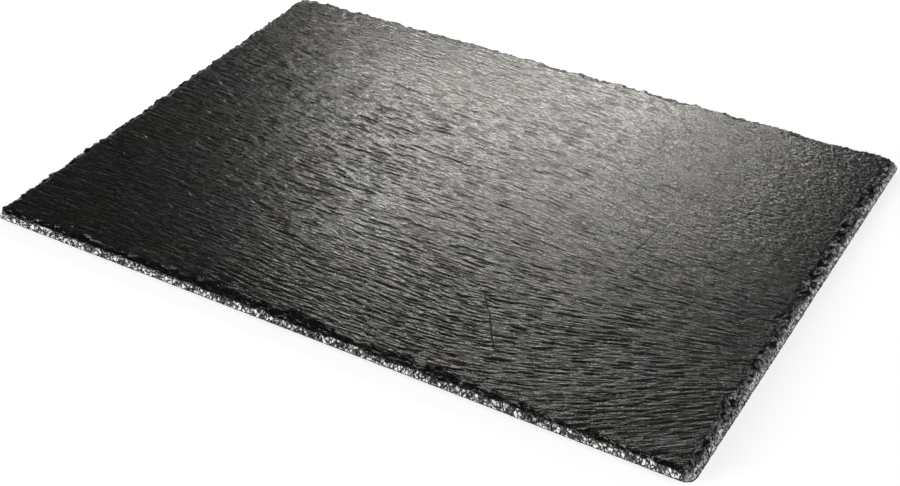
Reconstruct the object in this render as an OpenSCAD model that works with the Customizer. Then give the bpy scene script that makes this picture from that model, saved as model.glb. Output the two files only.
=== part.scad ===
// Slate serving board: one split stone with a hand-chipped rim, on four stick-on pads.
// The origin is on the table, under the middle of the board.
// +X runs along its length to the right, +Y to the back, +Z up.

/* [Board] */
// Length of the board, left to right
board_l = 350; // [200:5:500]
// Width of the board, front to back
board_w = 250; // [150:5:400]
// Thickness of the slate
slate_t = 5; // [4.5:0.25:9]
// Radius of the board's corners, seen from above
corner_r = 5; // [3:0.5:15]
// Worn bevel along the lower edge of the rim
foot_bevel = 0.3; // [0.1:0.05:0.8]

/* [Front edge] */
// How far the broken wall under the front chips leans in, from foot to crest
front_lean = 1; // [0.2:0.1:2]
// How far down from the top the front chips reach
front_drop = 2.1; // [0.5:0.1:3.2]
// Width of the chipped slope where two front chips meet
front_land = 0.6; // [0.3:0.1:3]
// How much further the deepest front chip bites into the top
front_bite = 7; // [1:0.1:9]

/* [Right, back and left edges] */
// How far the broken wall under the chips leans in, from foot to crest
side_lean = 2.7; // [0.2:0.1:3.5]
// How far down from the top the chips reach
side_drop = 1.9; // [0.5:0.1:3.2]
// Width of the chipped slope where two chips meet
side_land = 0.7; // [0.3:0.1:3]
// How much further the deepest chip bites into the top
side_bite = 3.3; // [0.5:0.1:6]

/* [Chips] */
// Half the length of a middling chip, along the edge
chip_half_l = 6; // [3:0.5:12]

/* [Feet] */
// Diameter of a pad
foot_d = 15; // [8:1:25]
// Height of a pad
foot_h = 2; // [1:0.25:5]
// Radius of the pad's lower rim
foot_rim_r = 0.5; // [0.2:0.1:0.9]
// Distance from each edge of the board to a pad's centre
foot_inset = 30; // [20:1:60]

/* [Adhesive] */
// Thickness of the adhesive under the stone
film_t = 0.2; // [0.1:0.05:0.5]
// How far the adhesive stops short of the pad's edge
film_margin = 0.5; // [0.2:0.1:1.5]

/* [Detail] */
// Distance between the points worked out along the rim
rim_pitch = 2; // [1.75:0.25:5]

/* [Hidden] */
// Chips of each edge in turn, going round from the front left corner. Each is the place of its
// middle, as a share of half the edge, then its half length and its depth, as shares of
// chip_half_l and of the edge's bite.
front_chip_shares = [
    [-0.95, 1.35, 0.35], [-0.87, 1.15, 0.3], [-0.81, 1, 0.45], [-0.73, 1.1, 0.55], [-0.67, 0.85, 0.35],
    [-0.63, 0.75, 0.3], [-0.59, 0.9, 0.55], [-0.53, 0.9, 0.5], [-0.46, 1.15, 0.55], [-0.42, 0.65, 0.65],
    [-0.37, 1.1, 0.55], [-0.3, 1, 1], [-0.25, 1.15, 0.85], [-0.19, 1, 0.65], [-0.14, 0.85, 0.6],
    [-0.1, 0.65, 0.5], [-0.05, 1.15, 0.95], [0.01, 1.15, 0.8], [0.06, 0.85, 0.5], [0.11, 0.9, 0.45],
    [0.19, 1.4, 0.55], [0.25, 0.85, 0.5], [0.28, 0.75, 0.75], [0.38, 1.65, 0.65], [0.47, 1.1, 0.6],
    [0.52, 0.85, 0.4], [0.59, 1.1, 0.25], [0.65, 0.85, 0.1], [0.7, 0.85, 0.15], [0.78, 1.15, 0.3],
    [0.85, 0.85, 0.1], [0.9, 0.85, 0.05], [0.95, 1.1, 0.3]];
right_chip_shares = [
    [-0.91, 1.35, 0.3], [-0.8, 1, 0.25], [-0.73, 0.65, 0.6], [-0.66, 1, 0.85], [-0.58, 1, 0.25],
    [-0.46, 1.35, 0.3], [-0.39, 1, 0.4], [-0.3, 0.85, 0.25], [-0.22, 0.65, 0.5], [-0.17, 0.9, 0.95],
    [-0.09, 0.85, 0.3], [0.02, 1, 0.7], [0.07, 0.65, 0.85], [0.13, 0.85, 0.55], [0.2, 0.85, 0.35],
    [0.3, 1.15, 0.8], [0.35, 0.65, 0.55], [0.42, 0.85, 0.4], [0.5, 1, 0.95], [0.59, 1, 0.6],
    [0.67, 0.85, 0.45], [0.74, 0.75, 0.95], [0.84, 1.15, 0.8], [0.94, 1, 0.5]];
back_chip_shares = [
    [-0.86, 1.35, 0.55], [-0.77, 2.15, 1], [-0.62, 0.85, 0.45], [-0.54, 1.5, 0.85], [-0.45, 0.65, 0.55],
    [-0.35, 1.35, 0.95], [-0.29, 1.35, 0.6], [-0.2, 0.85, 0.4], [-0.1, 1.35, 0.8], [-0.04, 0.65, 0.65],
    [0.05, 1.65, 1], [0.18, 0.85, 0.55], [0.26, 1.5, 0.6], [0.38, 0.75, 0.55], [0.48, 2, 0.55],
    [0.59, 1, 0.8], [0.69, 1.35, 0.55], [0.83, 1.5, 0.75], [0.97, 1.65, 0.95]];
left_chip_shares = [
    [-0.82, 0.85, 0.55], [-0.71, 1.35, 0.85], [-0.62, 0.85, 0.5], [-0.5, 1.15, 1], [-0.42, 1, 0.5],
    [-0.34, 0.5, 0.65], [-0.23, 1, 0.8], [-0.14, 0.85, 0.55], [-0.06, 0.85, 0.8], [0.02, 0.65, 0.7],
    [0.17, 1.65, 0.95], [0.26, 0.65, 0.8], [0.38, 1.5, 0.7], [0.56, 1.15, 0.55], [0.66, 1, 0.85],
    [0.81, 1.5, 0.7], [0.92, 0.65, 0.7]];
// How much of the full drop is left where two chips meet
drop_min_share = 0.35;
// Where the hollow of a chip lies between its crest and the top, across and up
hollow_across_share = 0.52;
hollow_up_share = 0.3;
// How unevenly the wall is broken, of its lean and of the chips' drop
lean_spread_share = 0.5;
drop_spread_share = 0.3;
// How far a chip's slope runs on above the flat top that cuts it, of its upper part
run_on_share = 0.25;
// Which run of scattered numbers breaks the wall unevenly, and which the crest
lean_salt = 1;
crest_salt = 2;
// Sides of the round pads, and of their rounded rim
pad_sides = 64;
rim_sides = 32;

slab_z = foot_h + film_t;
top_z = slab_z + slate_t;
// Flat ring of the top between the deepest chip and the ring that carries the middle
cap_ring = rim_pitch;
cap_inset = max(front_lean + front_land + front_bite, side_lean + side_land + side_bite) + cap_ring;
// How far the shapes that are cut flat run past the cut
overrun = slate_t;
run_l = board_l - 2 * corner_r;
run_w = board_w - 2 * corner_r;
arc_l = PI * corner_r / 2;
loop_l = 2 * (run_l + run_w + 2 * arc_l);
steps_l = max(4, round(run_l / rim_pitch));
steps_w = max(4, round(run_w / rim_pitch));
steps_arc = max(3, round(arc_l / rim_pitch));

// A number from 0 to 1 that looks random, one for each count and salt
function scatter(count, salt) =
    let (v = sin(count * 127.1 + salt * 311.7) * 43758.5453)
    v - floor(v);

function blend(a, b, t) = a + (b - a) * t;

// The four sides in turn from the front left: front, right, back, left.
// Each is a straight run and the corner after it, and turns a further 90 degrees.
side_runs = [run_l, run_w, run_l, run_w];
side_steps = [steps_l, steps_w, steps_l, steps_w];
side_starts = [0, run_l + arc_l, run_l + run_w + 2 * arc_l, 2 * run_l + run_w + 3 * arc_l];
side_count = len(side_runs);

function turned(p, angle) = [p[0] * cos(angle) - p[1] * sin(angle), p[0] * sin(angle) + p[1] * cos(angle)];

// One side's points on the outline that lies inset inside the board's, seen from above
function side_points(side, inset) =
    let (half_run = side_runs[side] / 2 + corner_r - inset,
         half_gap = side_runs[(side + 1) % side_count] / 2 + corner_r - inset,
         steps = side_steps[side])
    concat(
        [for (i = [0 : steps - 1])
            turned([blend(corner_r - half_run, half_run - corner_r, i / steps), -half_gap], side * 90)],
        [for (i = [0 : steps_arc - 1])
            let (a = 90 * i / steps_arc)
            turned([half_run - corner_r * (1 - sin(a)), corner_r * (1 - cos(a)) - half_gap], side * 90)]);

function outline(inset) = [for (side = [0 : side_count - 1]) each side_points(side, inset)];

// How far along the rim each point lies
places = [for (side = [0 : side_count - 1]) each concat(
    [for (i = [0 : side_steps[side] - 1]) side_starts[side] + side_runs[side] * i / side_steps[side]],
    [for (i = [0 : steps_arc - 1]) side_starts[side] + side_runs[side] + arc_l * i / steps_arc])];

// 1 along the front edge, 0 along the others, and blended round the corners beside it
front_shares = [for (side = [0 : side_count - 1]) each concat(
    [for (i = [0 : side_steps[side] - 1]) side == 0 ? 1 : 0],
    [for (i = [0 : steps_arc - 1])
        side == 0 ? 1 - i / steps_arc : side == side_count - 1 ? i / steps_arc : 0])];

side_chip_shares = [front_chip_shares, right_chip_shares, back_chip_shares, left_chip_shares];

// Every chip as [place of its middle along the rim, half length, depth as a share of the bite]
chips = [for (side = [0 : side_count - 1], chip = side_chip_shares[side])
    [side_starts[side] + side_runs[side] / 2 + chip[0] * (side_runs[side] / 2 + corner_r),
     chip[1] * chip_half_l,
     chip[2]]];

// How deep the chips bite at a place along the rim, as a share of the deepest
function bite_share(place) = max([for (chip = chips)
    let (away = abs(place - chip[0]), near = min(away, loop_l - away) / chip[1])
    near < 1 ? chip[2] * sqrt(1 - near * near) : 0]);

bites = [for (place = places) bite_share(place)];
foot_line = outline(0);
cap_line = outline(cap_inset);
rim_count = len(foot_line);

// The point beside rim point i that lies inset from the board's edge, at height z
function rim_point(i, inset, z) =
    let (p = blend(foot_line[i], cap_line[i], inset / cap_inset))
    [p[0], p[1], z];

function rim_size(i, front, others) = blend(others, front, front_shares[i]);

function lean(i) = rim_size(i, front_lean, side_lean) * (1 - lean_spread_share * scatter(i, lean_salt));

function top_inset(i) =
    rim_size(i, front_lean + front_land, side_lean + side_land)
    + rim_size(i, front_bite, side_bite) * bites[i];

function crest_z(i) =
    top_z - rim_size(i, front_drop, side_drop)
        * blend(drop_min_share, 1, bites[i]) * (1 - drop_spread_share * scatter(i, crest_salt));

function hollow_inset(i) = blend(lean(i), top_inset(i), hollow_across_share);

function hollow_z(i) = blend(crest_z(i), top_z, hollow_up_share);

// The rough stone from below up: worn bevel, broken wall, crest, hollow of the chips, and the end
// of their slope above the top. The bevel and the slope run on past the flat faces that cut them.
rings = [
    [for (i = [0 : rim_count - 1]) rim_point(i, 2 * foot_bevel, slab_z - foot_bevel)],
    [for (i = [0 : rim_count - 1]) rim_point(i, 0, slab_z + foot_bevel)],
    [for (i = [0 : rim_count - 1]) rim_point(i, lean(i), crest_z(i))],
    [for (i = [0 : rim_count - 1]) rim_point(i, hollow_inset(i), hollow_z(i))],
    [for (i = [0 : rim_count - 1])
        rim_point(i, blend(hollow_inset(i), top_inset(i), 1 + run_on_share),
                  blend(hollow_z(i), top_z, 1 + run_on_share))],
    [for (i = [0 : rim_count - 1]) rim_point(i, cap_inset, top_z + overrun)]];
last_ring = len(rings) - 1;

rough_points = concat([for (ring = rings) each ring],
                      [[0, 0, slab_z - foot_bevel], [0, 0, top_z + overrun]]);
under_middle = len(rough_points) - 2;
top_middle = len(rough_points) - 1;

function ring_index(ring, i) = ring * rim_count + i % rim_count;

rough_faces = concat(
    [for (ring = [0 : last_ring - 1], i = [0 : rim_count - 1])
        each [[ring_index(ring, i), ring_index(ring + 1, i), ring_index(ring + 1, i + 1)],
              [ring_index(ring, i), ring_index(ring + 1, i + 1), ring_index(ring, i + 1)]]],
    [for (i = [0 : rim_count - 1]) [under_middle, ring_index(0, i), ring_index(0, i + 1)]],
    [for (i = [0 : rim_count - 1]) [top_middle, ring_index(last_ring, i + 1), ring_index(last_ring, i)]]);

module slate_slab() {
    color([0.17, 0.17, 0.17]) intersection() {
        polyhedron(points = rough_points, faces = rough_faces);
        translate([-board_l / 2 - overrun, -board_w / 2 - overrun, slab_z])
            cube([board_l + 2 * overrun, board_w + 2 * overrun, slate_t]);
    }
}

// Puts its children under one corner of the board: side is -1 left or 1 right, end is -1 front or 1 back
module at_foot(side, end) {
    translate([side * (board_l / 2 - foot_inset), end * (board_w / 2 - foot_inset), 0]) children();
}

// A round pad with a flat top and a rounded lower rim
module foot() {
    foot_r = foot_d / 2;
    color([0.07, 0.07, 0.07]) rotate_extrude($fn = pad_sides) {
        translate([0, foot_rim_r]) square([foot_r, foot_h - foot_rim_r]);
        square([foot_r - foot_rim_r, foot_h]);
        intersection() {
            translate([foot_r - foot_rim_r, foot_rim_r]) circle(r = foot_rim_r, $fn = rim_sides);
            square([foot_r, foot_h]);
        }
    }
}

// The round adhesive layer between a pad and the stone
module adhesive() {
    color([0.8, 0.8, 0.76])
        translate([0, 0, foot_h]) cylinder(h = film_t, d = foot_d - 2 * film_margin, $fn = pad_sides);
}

module foot_front_left() { at_foot(-1, -1) foot(); }
module foot_front_right() { at_foot(1, -1) foot(); }
module foot_back_left() { at_foot(-1, 1) foot(); }
module foot_back_right() { at_foot(1, 1) foot(); }

module adhesive_front_left() { at_foot(-1, -1) adhesive(); }
module adhesive_front_right() { at_foot(1, -1) adhesive(); }
module adhesive_back_left() { at_foot(-1, 1) adhesive(); }
module adhesive_back_right() { at_foot(1, 1) adhesive(); }

slate_slab();
foot_front_left();
foot_front_right();
foot_back_left();
foot_back_right();
adhesive_front_left();
adhesive_front_right();
adhesive_back_left();
adhesive_back_right();
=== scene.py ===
"""Looks of the slate serving board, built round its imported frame.

The stone is one closed mesh: a riven top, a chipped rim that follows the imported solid, and a riven
underside. It is worked out in millimetres, and all the rest in metres. The pads and their adhesive
are turned meshes.
"""

import math
from types import SimpleNamespace

import bpy
import numpy as np
from mathutils import Matrix, Vector
from mathutils.bvhtree import BVHTree


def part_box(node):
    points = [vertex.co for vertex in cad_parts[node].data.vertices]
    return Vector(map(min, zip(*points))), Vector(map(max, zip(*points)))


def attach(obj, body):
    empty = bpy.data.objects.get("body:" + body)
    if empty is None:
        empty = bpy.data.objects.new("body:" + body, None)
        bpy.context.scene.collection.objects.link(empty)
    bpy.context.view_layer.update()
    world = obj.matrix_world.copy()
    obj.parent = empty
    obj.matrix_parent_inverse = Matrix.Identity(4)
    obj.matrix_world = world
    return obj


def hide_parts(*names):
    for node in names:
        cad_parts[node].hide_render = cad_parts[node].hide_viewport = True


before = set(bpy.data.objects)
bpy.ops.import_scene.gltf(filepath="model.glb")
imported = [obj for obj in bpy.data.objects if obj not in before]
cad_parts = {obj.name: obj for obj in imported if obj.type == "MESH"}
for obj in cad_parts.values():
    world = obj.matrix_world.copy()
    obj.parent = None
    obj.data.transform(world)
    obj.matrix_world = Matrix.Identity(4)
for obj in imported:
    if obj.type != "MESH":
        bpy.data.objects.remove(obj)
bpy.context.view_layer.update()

MM = 0.001
BODY = "root"
CORNERS = ("front_left", "front_right", "back_left", "back_right")
SIDES = (0, 1, 2, 3)

# The slab's box in the frame, in millimetres
slab_low, slab_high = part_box("slate_slab")
HALF_L = slab_high.x / MM
HALF_W = slab_high.y / MM
UNDER_Z = slab_low.z / MM
TOP_Z = slab_high.z / MM

# The outline's corner, and how far in the rim's cap, the level grids and the underside's rings lie
CORNER_R = 5.0
CAP_CORNER_R = 0.6
CAP_INSET = 10.6
GRID_INSET = 11.2
UNDER_RING_INSETS = (0.9, 2.0, 3.6, 5.8, 8.2, 10.6)

# How finely the stone is meshed: spacing in millimetres, then numbers of points, rings and rays
RIM_PITCH = 0.5
TOP_STEP = (0.8, 0.4)
UNDER_STEP = (2.2, 1.6)
ARC_COUNT = 20
WALL_RINGS = 10
SCAR_RINGS = 12
FLAT_RINGS = 11
FAN_RAYS = 120
LEAST_RAYS = 3


# Noise

# Factors and masks of the hash behind the noise
HASH_X = 374761393
HASH_Y = 668265263
HASH_SEED = 974634777
HASH_MIX_A = 1274126177
HASH_MIX_B = 2246822519
HASH_WORD = 0xFFFFFFFF
HASH_SHARE = 0xFFFFFF

OCTAVES = 3
OCTAVE_SEEDS = 17
FAR_AWAY = 1e9


def scatter(ix, iy, seed):
    """A number from 0 to 1 for each whole-number place, the same on every run."""
    h = (ix.astype(np.int64) * HASH_X + iy.astype(np.int64) * HASH_Y + seed * HASH_SEED) & HASH_WORD
    h = ((h ^ (h >> 13)) * HASH_MIX_A) & HASH_WORD
    h = ((h ^ (h >> 15)) * HASH_MIX_B) & HASH_WORD
    return ((h ^ (h >> 16)) & HASH_SHARE) / float(HASH_SHARE + 1)


def ease(t):
    """A smooth rise from 0 to 1, level at both ends and even in its bend."""
    return t * t * t * (t * (t * 6 - 15) + 10)


def ramp(value, low, high):
    """0 at low, 1 at high, a smooth change between them and none beyond. Low may be the larger."""
    t = np.clip((value - low) / (high - low), 0, 1)
    return t * t * (3 - 2 * t)


def noise(x, y, size, seed):
    """Smooth noise of about -1 to 1, with bumps of that size along x and y."""
    x = x / size[0]
    y = y / size[1]
    ix = np.floor(x)
    iy = np.floor(y)
    fx = x - ix
    fy = y - iy
    ease_x = ease(fx)
    ease_y = ease(fy)
    total = 0.0
    for cx in (0, 1):
        for cy in (0, 1):
            angle = 2 * np.pi * scatter(ix + cx, iy + cy, seed)
            lean = np.cos(angle) * (fx - cx) + np.sin(angle) * (fy - cy)
            share = (ease_x if cx else 1 - ease_x) * (ease_y if cy else 1 - ease_y)
            total = total + share * lean
    return 1.5 * total


def line_noise(x, size, row, seed):
    """Smooth noise along one line. Lines with other row numbers differ."""
    return noise(x, x * 0 + row, (size, 1), seed)


def layered(x, y, size, seed):
    """Noise with finer noise added to it, each octave half as long and half as high as the last."""
    total = 0.0
    for octave in range(OCTAVES):
        shrink = 2 ** octave
        finer = noise(x, y, (size[0] / shrink, size[1] / shrink), seed + OCTAVE_SEEDS * octave)
        total = total + finer / shrink
    return total


def facets(x, y, size, seed, tilt):
    """Flat cells of that size, each set back and tilted its own way, from 0 to about 1."""
    x = x / size[0]
    y = y / size[1]
    ix = np.floor(x)
    iy = np.floor(y)
    best = np.full(np.shape(x), FAR_AWAY)
    height = np.zeros(np.shape(x))
    for cx in (-1, 0, 1):
        for cy in (-1, 0, 1):
            px = ix + cx + 0.1 + 0.8 * scatter(ix + cx, iy + cy, seed)
            py = iy + cy + 0.1 + 0.8 * scatter(ix + cx, iy + cy, seed + 1)
            away = (x - px) ** 2 + (y - py) ** 2
            set_back = scatter(ix + cx, iy + cy, seed + 2)
            tilt_x = scatter(ix + cx, iy + cy, seed + 3) - 0.5
            tilt_y = scatter(ix + cx, iy + cy, seed + 4) - 0.5
            plane = set_back + tilt * (tilt_x * (x - px) + tilt_y * (y - py))
            nearer = away < best
            best = np.where(nearer, away, best)
            height = np.where(nearer, plane, height)
    return height


# Riven faces

# In millimetres. A pair of places is where a part of the top begins and where it is full, and a
# pair of sizes is the length of a bump along the grain and across it.
TOP_SEED = 101
UNDER_SEED = 501

# The grain's lines run along x, slope at the back, dip at the right and curl up at the front right
BACK_SLOPE = 0.12
BACK_SLOPE_Y = (-60, 110)
DIP = 14
DIP_X = (30, 120)
DIP_Y = (-60, 20)
CURL_X = 30
CURL_Y = (0, -85)
CURL_R = 160
CURL_SPREAD = 0.25


def flow(x, y):
    """How far a place lies along and across the grain of the split."""
    curl = ramp(y, *CURL_Y)
    right = np.maximum(0, x - CURL_X)
    drift = -BACK_SLOPE * x * ramp(y, *BACK_SLOPE_Y)
    drift = drift - DIP * ramp(x, *DIP_X) * ramp(y, *DIP_Y)
    drift = drift + 0.5 * right ** 2 / CURL_R * curl
    return x + CURL_SPREAD * right * curl, y - drift


SLOW_WAVE = 0.9
SLOW_WAVE_SIZE = (19, 9)
QUICK_WAVE = 0.32
QUICK_WAVE_SIZE = (6, 3.5)


def wavy_flow(x, y, seed):
    """Places along and across the grain with the ripples' own waviness."""
    u, v = flow(x, y)
    wave = SLOW_WAVE * noise(u, v, SLOW_WAVE_SIZE, seed) + QUICK_WAVE * noise(u, v, QUICK_WAVE_SIZE, seed + 1)
    return u, v + wave


COARSE_X = (55, 130)
COARSE_Y = (-40, 40)


def coarse_share(x, y):
    """0 where the grain is drawn out, 1 in the back right part, where it is short and pitted."""
    return ramp(x, *COARSE_X) * ramp(y, *COARSE_Y)


STRAIGHT_X = (-10, -120)


def straight_share(x):
    """1 in the left part, where the ripples are long and straight, 0 in the rest."""
    return ramp(x, *STRAIGHT_X)


# How much stronger or weaker the ripples are in each part than in the middle of the top, and the
# share of the left part's strength that is lost at the back
FRONT_RIGHT_MORE = 1.1
LEFT_MORE = 1.5
LEFT_BACK_LESS = 0.4
BACK_LESS = 0.35
RIGHT_MORE = 0.6
MIDDLE_LEFT_MORE = 0.8


def ripple_height(x, y):
    """How strong the ripples are in each part of the top, 1 in the middle."""
    front_right = ramp(y, -5, -80) * ramp(x, -60, 40)
    left = ramp(x, -70, -160) * (1 - LEFT_BACK_LESS * ramp(y, 0, 80))
    back = ramp(y, 10, 110)
    right = ramp(x, 50, 120) * ramp(y, -70, 0)
    middle_left = ramp(x, -110, -70) * ramp(x, -10, -50) * ramp(y, 80, 40)
    height = 1 + FRONT_RIGHT_MORE * front_right + LEFT_MORE * left - BACK_LESS * back
    return height + RIGHT_MORE * right + MIDDLE_LEFT_MORE * middle_left


GRIT_LEFT_MORE = 0.15
GRIT_BACK_MORE = 0.25
GRIT_RIGHT_MORE = 0.3


def grit(x, y):
    """How strong the fine grain is in each part of the top, 1 in the middle."""
    left = GRIT_LEFT_MORE * ramp(x, 0, -150)
    back = GRIT_BACK_MORE * ramp(y, 0, 100)
    return 1 + left + back + GRIT_RIGHT_MORE * ramp(x, 30, 120)


# Kinds of groove: length and width, seed, where the noise begins to cut and where it is full, how
# far crowding moves that, and depth beside the common kind
GROOVES = (
    ((12, 0.95), 6, 0.34, 0.54, 0.08, 1.0),
    ((9, 0.75), 14, 0.36, 0.56, 0.08, 0.6),
    ((20, 1.5), 21, 0.50, 0.66, 0.0, 1.4),
)
CROWD_SIZE = (22, 15)
COARSE_GROOVE_LESS = 0.8


def groove_share(x, y, seed):
    """1 in the sharp grooves that run with the grain, more in the long ones, 0 between them."""
    u, v = wavy_flow(x, y, seed)
    crowd = noise(x, y, CROWD_SIZE, seed + 7)
    sharp = 0.0
    for size, own_seed, begins, full, crowding, depth in GROOVES:
        line = noise(u, v, size, seed + own_seed) + crowding * crowd
        sharp = np.maximum(sharp, depth * ramp(line, begins, full))
    return (1 - COARSE_GROOVE_LESS * coarse_share(x, y)) * sharp


# Heights and sizes of all that a split face is made of
SWELL = 0.07
SWELL_SIZE = (75, 48)
BROAD = 0.02
BROAD_SIZE = (15, 3.4)
COARSE_BROAD_LESS = 0.75
RIPPLE = 0.06
RIPPLE_SIZE = (13, 1.0)
STRAIGHT_SIZE = (14, 1.05)
COARSE_SIZE = (4.6, 1.4)
GROOVE = 0.16
PIT = 0.055
PIT_SIZE = (1.3, 1.05)
WIDE_PIT_SIZE = (2.3, 1.7)
WIDE_PIT_SHARE = 0.7
PIT_LEAST = 0.3
COARSE_PIT_MORE = 1.7
STEP = 0.06
STEP_SIZE = (95, 42)
STEP_LEVELS = (-0.55, -0.22, 0.12, 0.47)
STEP_EDGE = 0.03


def riven(x, y, seed):
    """Height of a split face at each place, not yet set against a plane."""
    u, v = wavy_flow(x, y, seed)
    strength = ripple_height(x, y)
    coarse = coarse_share(x, y)
    straight = straight_share(x)
    height = SWELL * layered(x, y, SWELL_SIZE, seed + 2)
    broad = BROAD * (1 - COARSE_BROAD_LESS * coarse) * noise(u, v, BROAD_SIZE, seed + 3)
    ripple = (1 - coarse) * noise(u, v, RIPPLE_SIZE, seed + 4) + coarse * noise(u, v, COARSE_SIZE, seed + 12)
    ripple = (1 - straight) * ripple + straight * noise(u, v, STRAIGHT_SIZE, seed + 5)
    height = height + strength * (broad + RIPPLE * ripple - GROOVE * groove_share(x, y, seed))
    pits = noise(x, y, PIT_SIZE, seed + 8) + WIDE_PIT_SHARE * noise(x, y, WIDE_PIT_SIZE, seed + 9)
    height = height + PIT * (PIT_LEAST + COARSE_PIT_MORE * coarse) * pits
    field = layered(x, v, STEP_SIZE, seed + 11)
    for level in STEP_LEVELS:
        height = height + STEP * ramp(field, level, level + STEP_EDGE)
    return height


TOP_BASE = 0.42
TOP_DEEPEST = 0.8


def top_relief(x, y):
    """Height of the top over its flat plane: never above it."""
    return np.clip(riven(x, y, TOP_SEED) - TOP_BASE, -TOP_DEEPEST, 0)


# Small pale mineral marks on the top: middle x and y, half length and half width, and share
PALE_MARKS = (
    (-22.0, -63.0, 3.6, 2.0, 1.0),
    (158.0, -111.0, 8.0, 4.0, 0.6),
    (-159.0, 113.0, 2.4, 1.4, 0.7),
)
MARK_RAGGED = 0.35
MARK_RAGGED_SIZE = (2.2, 1.5)
MARK_EDGE = (1.05, 0.5)


def pale_share(x, y):
    """How pale each place of the top is with mineral marks, from 0 to 1."""
    share = np.zeros(np.shape(x))
    ragged = MARK_RAGGED * noise(x, y, MARK_RAGGED_SIZE, 88)
    for mark_x, mark_y, half_u, half_v, most in PALE_MARKS:
        away = np.hypot((x - mark_x) / half_u, (y - mark_y) / half_v) + ragged
        share = np.maximum(share, most * ramp(away, *MARK_EDGE))
    return share


# The pads' centres and radius
PAD_PLACES = []
for corner in CORNERS:
    pad_low, pad_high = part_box("foot_" + corner)
    PAD_PLACES.append(((pad_low.x + pad_high.x) / 2 / MM, (pad_low.y + pad_high.y) / 2 / MM))
PAD_R = (pad_high.x - pad_low.x) / 2 / MM

UNDER_BASE = 0.16
UNDER_SHARE = 0.8
UNDER_DEEPEST = 0.6
PAD_FLAT = 0.6
PAD_FLAT_END = 5


def under_relief(x, y):
    """How far the underside lies above its flat plane, with level places where the pads are stuck."""
    height = np.clip(UNDER_BASE - UNDER_SHARE * riven(x, y, UNDER_SEED), 0, UNDER_DEEPEST)
    for px, py in PAD_PLACES:
        away = np.hypot(x - px, y - py)
        height = height * ramp(away, PAD_R + PAD_FLAT, PAD_R + PAD_FLAT_END)
    return height


# Rim

# Each rim profile is followed by rays from a point this far over the underside, below the cap. Its
# arris is where it first comes within the second distance of the top.
EYE_RISE = 0.32
LEVEL_WITHIN = 0.002


def side_halves(side):
    """Half the length of a side, and how far it lies from the middle."""
    return (HALF_L, HALF_W) if side % 2 == 0 else (HALF_W, HALF_L)


STRAIGHT_COUNTS = [round(2 * side_halves(side)[0] / RIM_PITCH) for side in SIDES]


def turn(x, y, quarters):
    """Turns places round the middle by quarter turns."""
    for _ in range(quarters):
        x, y = -y, x
    return x, y


def outline(inset, radius):
    """The board's outline at that inset, counter-clockwise from the front left, as x and y."""
    xs = []
    ys = []
    for side in SIDES:
        half, gap = side_halves(side)
        half = half - inset
        gap = gap - inset
        run = np.arange(STRAIGHT_COUNTS[side]) / STRAIGHT_COUNTS[side]
        angle = np.pi / 2 * np.arange(ARC_COUNT) / ARC_COUNT
        straight_x = (radius - half) + run * 2 * (half - radius)
        arc_x = half - radius + radius * np.sin(angle)
        arc_y = -gap + radius - radius * np.cos(angle)
        x = np.concatenate([straight_x, arc_x])
        y = np.concatenate([np.full(run.shape, -gap), arc_y])
        x, y = turn(x, y, side)
        xs.append(x)
        ys.append(y)
    return np.concatenate(xs), np.concatenate(ys)


def slab_tree():
    """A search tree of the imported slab's faces."""
    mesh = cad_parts["slate_slab"].data
    points = [v.co.copy() for v in mesh.vertices]
    polygons = [tuple(p.vertices) for p in mesh.polygons]
    return BVHTree.FromPolygons(points, polygons)


def run_along(x, y):
    """How far along a line of points each of them lies."""
    return np.concatenate([[0], np.cumsum(np.hypot(np.diff(x), np.diff(y)))])


def between(foot, cap, share):
    """The place at that share of the way from foot to cap."""
    return foot * (1 - share) + cap * share


def spread(insets, heights, count):
    """That many points at even distances along a profile, its last point left out."""
    lengths = run_along(insets, heights)
    at = np.linspace(0, lengths[-1], count + 1)[:-1]
    return np.interp(at, lengths, insets), np.interp(at, lengths, heights)


def solid_profile(tree, foot, cap):
    """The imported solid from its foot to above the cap: the way between, distances in and heights."""
    way = Vector((foot[0] - cap[0], foot[1] - cap[1], 0))
    reach = way.length
    way.normalize()
    start = Vector((cap[0], cap[1], UNDER_Z + EYE_RISE)) * MM
    inward = []
    up = []
    for angle in np.linspace(0, np.pi / 2, FAN_RAYS):
        ray = way * math.cos(angle) + Vector((0, 0, math.sin(angle)))
        hit = tree.ray_cast(start, ray)[0]
        inward.append(reach - (hit - start).dot(way) / MM)
        up.append(hit.z / MM)
    return reach, np.array(inward), np.array(up)


def rim_profiles(foot_x, foot_y, cap_x, cap_y):
    """For each rim station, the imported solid's profile as shares of the way in and heights."""
    tree = slab_tree()
    shares = np.zeros((len(foot_x), WALL_RINGS + SCAR_RINGS + FLAT_RINGS))
    heights = np.zeros(shares.shape)
    for i in range(len(foot_x)):
        reach, inward, up = solid_profile(tree, (foot_x[i], foot_y[i]), (cap_x[i], cap_y[i]))
        arris = int(np.argmax(up > TOP_Z - LEVEL_WITHIN))
        crest = min(max(int(np.argmax(up - inward)), LEAST_RAYS), arris - LEAST_RAYS)
        parts = ((0, crest, WALL_RINGS), (crest, arris, SCAR_RINGS), (arris, FAN_RAYS - 1, FLAT_RINGS))
        at = 0
        for first, last, count in parts:
            part_in, part_up = spread(inward[first:last + 1], up[first:last + 1], count)
            shares[i, at:at + count] = part_in / reach
            heights[i, at:at + count] = part_up
            at += count
    return shares, heights


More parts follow.
